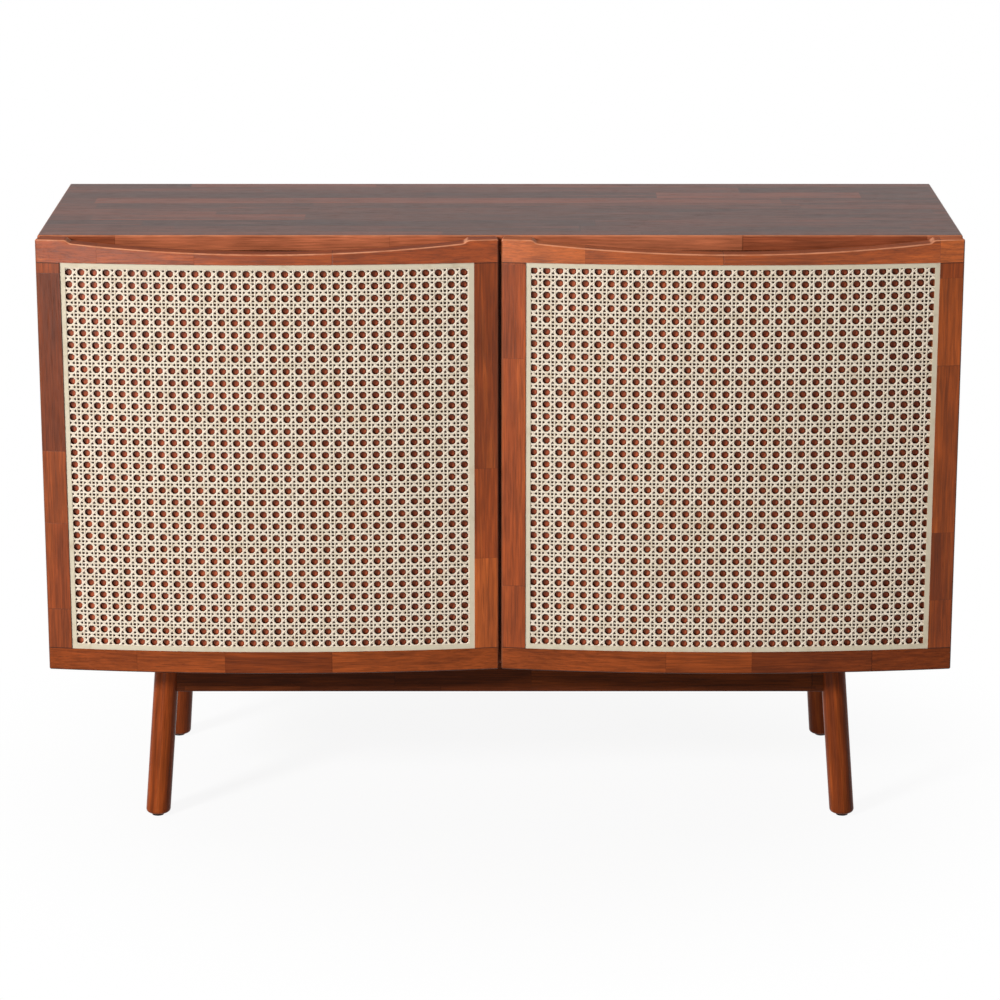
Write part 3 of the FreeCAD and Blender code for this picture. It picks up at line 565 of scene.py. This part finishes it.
# Near black: painted shade on the strands' cut edges
CANE_EDGE_SHADE = colour(34, 20, 12)
CANE_SHINE = 0.3
CANE_RELIEF = (0.25, 0.0001)
CANE_FIBRE_SCALE = (25.0, 4.0, 900.0)
CANE_FIBRE_EDGE = (0.45, 0.75)
CANE_FIBRE_SHARE = 0.25
CANE_DULLNESS = (0.2, 0.4)
STAIN_SCALE = 55.0
STAIN_EDGE = (0.42, 0.75)
STAIN_SHARE = 0.35
STRAND_SHARE = 0.3
FRONT_FACE = (-0.20, -0.55)

bow_radius = (DOOR_WIDTH ** 2 / 4 + DOOR_BOW ** 2) / (2 * DOOR_BOW)
bow_centre_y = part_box("left_door_bottom_rail")[0].y + bow_radius
door_arc = 2 * math.asin(DOOR_WIDTH / 2 / bow_radius) * bow_radius
opening_width = door_arc - 2 * STILE_FACE


def cane_finish():
    """Split cane: cream bark with fine lengthwise fibres on the front, and near-black painted shade on the
    cut edges.

    A strand's points carry their way along it, its number and its own share of depth."""
    made, tree, shader, place = start_material("split_cane")
    strand = add_node(tree, "Attribute", {}, attribute_name="strand").outputs["Vector"]
    own_depth = add_node(tree, "SeparateXYZ", {0: strand}).outputs["Z"]
    fibre = streaks(tree, strand, CANE_FIBRE_SCALE, detail=3.0)
    stain = between(tree, clouds(tree, place, STAIN_SCALE, detail=3.0), *STAIN_EDGE)
    deep = sum_up(tree, "MULTIPLY", own_depth, STRAND_SHARE)
    deep = sum_up(tree, "MULTIPLY_ADD", stain, STAIN_SHARE, deep)
    deep = sum_up(tree, "MULTIPLY_ADD", between(tree, fibre, *CANE_FIBRE_EDGE), CANE_FIBRE_SHARE, deep)
    bark = blended(tree, deep, CANE_PALE, CANE_DEEP)
    facing = add_node(tree, "TexCoord", {}).outputs["Normal"]
    front = between(tree, add_node(tree, "SeparateXYZ", {0: facing}).outputs["Y"], *FRONT_FACE)
    tree.links.new(blended(tree, front, CANE_EDGE_SHADE, bark), shader.inputs["Base Color"])
    tree.links.new(sum_up(tree, "MULTIPLY_ADD", fibre, *CANE_DULLNESS), shader.inputs["Roughness"])
    shader.inputs["Specular IOR Level"].default_value = CANE_SHINE
    raise_relief(tree, shader, fibre, *CANE_RELIEF)
    return made


split_cane = cane_finish()
PAIR_OFFSET = 0.155
PAIR_MARGIN = 0.1
SHORTEST_SLANT = 0.5


class Lattice:
    """The cells of one door's webbing: cell 0, 0 is the lowest left hole of the whole ones.

    The pitch is that of the holes; the first one is measured from the opening's left and the sheet's foot."""

    def __init__(self, door, pitch_x, pitch_z, first_x, first_z):
        low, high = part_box(door + "_cane_webbing")
        self.middle_x = (low.x + high.x) / 2
        self.pitch_x = pitch_x
        self.pitch_z = pitch_z
        self.first_x = first_x - opening_width / 2
        self.first_z = low.z + first_z
        right = opening_width - CANE_CLEARANCE
        self.low = Vector(((CANE_CLEARANCE - first_x) / pitch_x, -first_z / pitch_z))
        self.high = Vector(((right - first_x) / pitch_x, (high.z - self.first_z) / pitch_z))

    def at(self, cell, aside):
        """The way along the bow and the height of a place, given in cells and by a step aside."""
        along = self.first_x + cell.x * self.pitch_x + aside.x
        return along, self.first_z + cell.y * self.pitch_z + aside.y

    def pairs(self, low, high):
        """The two strands on either side of each line midway between the holes, within an opening."""
        for middle in range(math.floor(low), math.ceil(high) + 1):
            for sign in (-1, 1):
                place = middle + 0.5 + sign * PAIR_OFFSET
                if low + PAIR_MARGIN < place < high - PAIR_MARGIN:
                    yield place, sign

    def slants(self, rise):
        """The slanting strands, each cut to the opening."""
        reach = math.ceil(self.high.x + self.high.y) + 2
        for number in range(-reach, reach + 1):
            offset = number + 0.5
            ends = sorted(((self.low.y - offset) / rise, (self.high.y - offset) / rise))
            first = max(self.low.x, ends[0])
            last = min(self.high.x, ends[1])
            if last - first > SHORTEST_SLANT:
                yield Vector((first, offset + rise * first)), Vector((last, offset + rise * last)), 1


def bent(middle_x, along, depth, z):
    """A place on a bowed door, by its way along the bow from the middle and its depth behind the face."""
    turn = along / bow_radius
    radius = bow_radius - depth
    return Vector((middle_x + radius * math.sin(turn), bow_centre_y - radius * math.cos(turn), z))


GOLDEN_STEP = 0.618


def strands(name, lattice, lines, width, lift):
    """Weaves one set of strands; each line is its two ends in cells, and lift its height over the sheet."""
    mesh = bmesh.new()
    layer = mesh.verts.layers.float_vector.new("strand")
    for number, (start, end, sign) in enumerate(lines):
        run = end - start
        steps = max(FEWEST_STEPS, round(max(abs(run.x), abs(run.y)) * STEPS_PER_CELL))
        aside = Vector((-run.y * lattice.pitch_z, run.x * lattice.pitch_x)).normalized()
        made = bmesh.ops.create_grid(mesh, x_segments=STEPS_ACROSS, y_segments=steps, size=1.0)
        for vert in made["verts"]:
            across = vert.co.x
            cell = start + run * (vert.co.y + 1) / 2
            rise = STRAND_CROWN * (1 - across ** 2) + sign * lift(cell)
            vert[layer] = (vert.co.y * steps, number, (number * GOLDEN_STEP) % 1.0)
            along, z = lattice.at(cell, aside * across * width / 2)
            vert.co = bent(lattice.middle_x, along, CANE_DEPTH - rise, z)
    bmesh.ops.solidify(mesh, geom=mesh.faces[:], thickness=STRAND_THICKNESS)
    bmesh.ops.recalc_face_normals(mesh, faces=mesh.faces[:])
    for face in mesh.faces:
        face.smooth = True
    data = bpy.data.meshes.new(name)
    mesh.to_mesh(data)
    mesh.free()
    data.materials.append(split_cane)
    made = bpy.data.objects.new(name, data)
    bpy.context.scene.collection.objects.link(made)
    return made


PAIR_LIFT = 0.0003
SLANT_LIFT = 0.00022
SLANT_PHASE = 0.25


def ripple(cell_part):
    """The over and under of a strand, from -1 to 1, once in each cell."""
    return math.sin(2 * math.pi * (cell_part - 0.5))


lattices = {
    "left_door": Lattice("left_door", pitch_x=0.01653, pitch_z=0.01605, first_x=0.0110, first_z=0.0118),
    "right_door": Lattice("right_door", pitch_x=0.01670, pitch_z=0.01614, first_x=0.0104, first_z=0.0113),
}
for door, lattice in lattices.items():
    low, high = lattice.low, lattice.high
    uprights = [(Vector((x, low.y)), Vector((x, high.y)), -sign) for x, sign in lattice.pairs(low.x, high.x)]
    crossings = [(Vector((low.x, z)), Vector((high.x, z)), sign) for z, sign in lattice.pairs(low.y, high.y)]
    sets = (
        ("uprights", uprights, STRAND_WIDTH, lambda cell: PAIR_LIFT * ripple(cell.y)),
        ("crossings", crossings, STRAND_WIDTH, lambda cell: PAIR_LIFT * ripple(cell.x)),
        ("rising_slants", list(lattice.slants(1)), SLANT_WIDTH,
         lambda cell: SLANT_LIFT * ripple(cell.x + SLANT_PHASE)),
        ("falling_slants", list(lattice.slants(-1)), SLANT_WIDTH,
         lambda cell: -SLANT_LIFT * ripple(cell.x + SLANT_PHASE)),
    )
    for set_name, lines, width, lift in sets:
        woven = strands(f"{door}_cane_{set_name}", lattice, lines, width, lift)
        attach(woven, door)
        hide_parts(door + "_cane_webbing")

# Backing panels: thin bent boards in a groove of each door frame, close behind the cane.
# They are faced with red-brown veneer, painted dark as the cane's shadow except for a lit spot behind each
# round hole.
# The light falls in from above, so that the lit spots sit a little lower than the holes.
BACKING_TONES = (colour(122, 54, 32), colour(160, 76, 47), colour(176, 90, 58))
BACKING_PAINTED_SHADE = colour(64, 27, 15)
BACKING_SHADE_SHARE = 0.85
BACKING_DEPTH = 0.007
BACKING_LEAF = 0.2
BACKING_CUT = 71.0
SPOT_DROP = 0.06
SPOT_EDGE = (0.16, 0.27)
FACING_FRONT = -0.5

cane_shadow_spots, entry, result = start_group(
    "cane_shadow_spots",
    {
        "Veneer": ("Color", BACKING_TONES[1]),
        "Place": ("Vector", (0.0, 0.0, 0.0)),
        "Facing": ("Vector", (0.0, -1.0, 0.0)),
        "Door Middle": ("Float", 0.0),
        "Pitch Along": ("Float", 1.0),
        "Pitch Up": ("Float", 1.0),
        "First Along": ("Float", 0.0),
        "First Up": ("Float", 0.0),
    },
    {"Color": "Color"},
)
tree = cane_shadow_spots


def from_hole(tree, place, first, pitch, drop=0.0):
    """How far a place is from the nearest hole in one direction, in cells."""
    cell = sum_up(tree, "DIVIDE", sum_up(tree, "SUBTRACT", place, first), pitch)
    cell = sum_up(tree, "ADD", cell, 0.5 + drop)
    return sum_up(tree, "SUBTRACT", sum_up(tree, "FRACT", cell), 0.5)


place = add_node(tree, "SeparateXYZ", {0: entry["Place"]}).outputs
along = sum_up(tree, "SUBTRACT", place["X"], entry["Door Middle"])
along = sum_up(tree, "ARCSINE", sum_up(tree, "DIVIDE", along, bow_radius - BACKING_DEPTH))
along = sum_up(tree, "MULTIPLY", along, bow_radius)
away = add_node(tree, "CombineXYZ", {
    0: from_hole(tree, along, entry["First Along"], entry["Pitch Along"]),
    1: from_hole(tree, place["Z"], entry["First Up"], entry["Pitch Up"], SPOT_DROP),
}).outputs[0]
away = add_node(tree, "VectorMath", {0: away}, operation="LENGTH").outputs["Value"]
facing = add_node(tree, "SeparateXYZ", {0: entry["Facing"]}).outputs["Y"]
in_front = sum_up(tree, "LESS_THAN", facing, FACING_FRONT)
# Painted shadow of the cane: the veneer darkens away from each lit spot, on the front face only
shade_around_spots = sum_up(tree, "MULTIPLY", between(tree, away, *SPOT_EDGE), in_front)
shade_around_spots = sum_up(tree, "MULTIPLY", shade_around_spots, BACKING_SHADE_SHARE)
tree.links.new(blended(tree, shade_around_spots, entry["Veneer"], BACKING_PAINTED_SHADE), result["Color"])

for number, (door, lattice) in enumerate(lattices.items()):
    finish = lacquered_wood(door + "_backing_veneer", "ZXY", BACKING_CUT + number,
                            VENEER_LENGTH, BACKING_LEAF, tones=BACKING_TONES)
    tree = finish.node_tree
    shader = tree.nodes["Principled BSDF"]
    veneer = shader.inputs["Base Color"].links[0].from_socket
    coordinates = add_node(tree, "TexCoord", {}).outputs
    spots = use_group(tree, cane_shadow_spots, Veneer=veneer,
                      Place=coordinates["Object"], Facing=coordinates["Normal"], Door_Middle=lattice.middle_x,
                      Pitch_Along=lattice.pitch_x, Pitch_Up=lattice.pitch_z,
                      First_Along=lattice.first_x, First_Up=lattice.first_z)
    tree.links.new(spots["Color"], shader.inputs["Base Color"])
    dress(door + "_backing_panel", finish)

# Cane border: flat cream strips laid over the cut ends of the webbing, mitred at the corners.
# They are glued into the recess of the frame, a little below its face.
BORDER_CREAM = colour(204, 193, 170)
BORDER_SOILED = colour(184, 168, 142)
BORDER_GLOSS = 0.45
BORDER_GRAIN = 500.0
border_finish = moulded_finish("border_strip", BORDER_CREAM, BORDER_SOILED, BORDER_GLOSS, BORDER_GRAIN)
for door in DOORS:
    dress(door + "_cane_border", border_finish)

# Hinges and fittings: brass butt hinges let into the door and the case side, with steel screws,
# and at the top of each door a catch with a magnet in the case and a steel strike on the door.
# Small rubber pads on the case edges take up the closing knock.
BRASS = colour(180, 144, 78)
BRASS_DULL = colour(136, 104, 56)
BRASS_GLOSS = 0.40
brass = metal_finish("hinge_brass", BRASS, BRASS_DULL, BRASS_GLOSS)
for node in ("hinge_pins", "left_hinge_cabinet_leaves", "right_hinge_cabinet_leaves",
             "left_door_hinge_leaves", "right_door_hinge_leaves"):
    dress(node, brass)
for door in DOORS:
    dress(door + "_strike_plate", screw_steel)
CATCH_BROWN = colour(92, 56, 38)
CATCH_SCUFFED = colour(120, 84, 62)
CATCH_GLOSS = 0.4
RUBBER_GREY = colour(60, 56, 52)
RUBBER_SCUFFED = colour(88, 84, 78)
RUBBER_GLOSS = 0.7
dress("magnetic_catches", moulded_finish("catch_housing", CATCH_BROWN, CATCH_SCUFFED, CATCH_GLOSS))
dress("door_bumpers", moulded_finish("bumper_rubber", RUBBER_GREY, RUBBER_SCUFFED, RUBBER_GLOSS))

# Floor: a plain pale studio floor without gloss, wide enough to reach past every view.
# The camera and reflections see it as white, apart from the cabinet's soft shadow near its feet.
# It throws back less light than it shows, so that the cabinet's underside stays dark.
FLOOR_SIZE = 30.0
FLOOR_PALE = (0.5, 0.5, 0.5, 1.0)
FLOOR_WHITE = (0.95, 0.95, 0.95, 1.0)
FLOOR_ROUGHNESS = 0.9
WHITE = (1.0, 1.0, 1.0, 1.0)
SHADOW_REACH = (0.3, 0.9)
SHADOW_SHARE = 0.10
floor_mesh = bmesh.new()
bmesh.ops.create_grid(floor_mesh, x_segments=1, y_segments=1, size=FLOOR_SIZE / 2)
floor_data = bpy.data.meshes.new("studio_floor")
floor_mesh.to_mesh(floor_data)
floor_mesh.free()
floor = bpy.data.objects.new("studio_floor", floor_data)
bpy.context.scene.collection.objects.link(floor)


def seen_straight(tree):
    """1 where a surface is seen, straight, in a reflection or through glass, and 0 where it lights others."""
    path = add_node(tree, "LightPath", {}).outputs
    seen = sum_up(tree, "MAXIMUM", path["Is Camera Ray"], path["Is Glossy Ray"])
    return sum_up(tree, "MAXIMUM", seen, path["Is Transmission Ray"])


floor_paint, tree, shader, place = start_material("floor_paint")
shader.inputs["Roughness"].default_value = FLOOR_ROUGHNESS
shader.inputs["Specular IOR Level"].default_value = 0.0
seen = seen_straight(tree)
tree.links.new(blended(tree, seen, FLOOR_PALE, FLOOR_WHITE), shader.inputs["Base Color"])
away = add_node(tree, "VectorMath", {0: place}, operation="LENGTH").outputs["Value"]
share = sum_up(tree, "MULTIPLY_ADD", between(tree, away, *SHADOW_REACH), SHADOW_SHARE, 1 - SHADOW_SHARE)
share = sum_up(tree, "MULTIPLY", seen, share)
glow = add_node(tree, "Emission", {"Color": WHITE, "Strength": 1.0}).outputs[0]
mixed = add_node(tree, "MixShader", {0: share, 1: shader.outputs[0], 2: glow}).outputs[0]
tree.links.new(mixed, tree.nodes["Material Output"].inputs["Surface"])
floor_data.materials.append(floor_paint)

# Light: a white room, dim in front of the cabinet and overhead and bright behind it.
# A soft box stands high to the left of the camera, and a small low one nearer to the middle
# gives the upper left of the doors its sheen. The camera sees the room as plain white.
FRONT_LIGHT = 0.10
BACK_LIGHT = 1.0
ZENITH_SHARE = 0.2
BEHIND = (-0.5, 0.6)
OVERHEAD = (0.15, 0.75)
world = bpy.data.worlds.new("studio")
bpy.context.scene.world = world
world.use_nodes = True
tree = world.node_tree
lighting = tree.nodes["Background"]
lighting.inputs["Color"].default_value = WHITE
direction = add_node(tree, "TexCoord", {}).outputs["Generated"]
direction = add_node(tree, "SeparateXYZ", {0: direction}).outputs
behind = between(tree, direction["Y"], *BEHIND)
sky = sum_up(tree, "MULTIPLY_ADD", behind, BACK_LIGHT - FRONT_LIGHT, FRONT_LIGHT)
overhead = between(tree, direction["Z"], *OVERHEAD)
sky = sum_up(tree, "MULTIPLY", sky, sum_up(tree, "MULTIPLY_ADD", overhead, ZENITH_SHARE - 1, 1.0))
tree.links.new(sky, lighting.inputs["Strength"])
backdrop = add_node(tree, "Background", {"Color": WHITE, "Strength": 1.0}).outputs[0]
mixed = add_node(tree, "MixShader", {0: seen_straight(tree), 1: lighting.outputs[0], 2: backdrop}).outputs[0]
tree.links.new(mixed, tree.nodes["World Output"].inputs["Surface"])


def soft_box(name, place, target, size, power):
    """A square studio lamp aimed at a point."""
    lamp = bpy.data.lights.new(name, "AREA")
    lamp.shape = "SQUARE"
    lamp.size = size
    lamp.energy = power
    made = bpy.data.objects.new(name, lamp)
    made.location = place
    made.rotation_euler = (Vector(target) - Vector(place)).to_track_quat("-Z", "Y").to_euler()
    bpy.context.scene.collection.objects.link(made)


CABINET_MIDDLE = (0.0, 0.0, 0.45)
KEY_PLACE = (-4.55, -5.05, 3.6)
KEY_SIZE = 1.3
KEY_POWER = 560.0
SHEEN_PLACE = (-1.9, -4.6, 0.25)
SHEEN_SIZE = 0.9
SHEEN_POWER = 52.0
soft_box("key_box", KEY_PLACE, CABINET_MIDDLE, KEY_SIZE, KEY_POWER)
soft_box("sheen_box", SHEEN_PLACE, CABINET_MIDDLE, SHEEN_SIZE, SHEEN_POWER)

# Camera: in front of the cabinet's middle and above it, looking down with a long lens.
# It has no shift, so that the cabinet stays in the frame when another view turns it round.
EYE_DISTANCE = 4.7241
EYE_HEIGHT = 1.6997
LOOK_DOWN = 15.342
LENS = 128.82
SENSOR = 36.0
CLIP_END = 100.0
camera_data = bpy.data.cameras.new("camera")
camera_data.lens = LENS
camera_data.sensor_width = SENSOR
camera_data.clip_end = CLIP_END
camera = bpy.data.objects.new("camera", camera_data)
camera.location = (0.0, -EYE_DISTANCE, EYE_HEIGHT)
camera.rotation_euler = (math.radians(90 - LOOK_DOWN), 0.0, 0.0)
bpy.context.scene.collection.objects.link(camera)
bpy.context.scene.camera = camera
bpy.context.scene.view_settings.view_transform = "Standard"
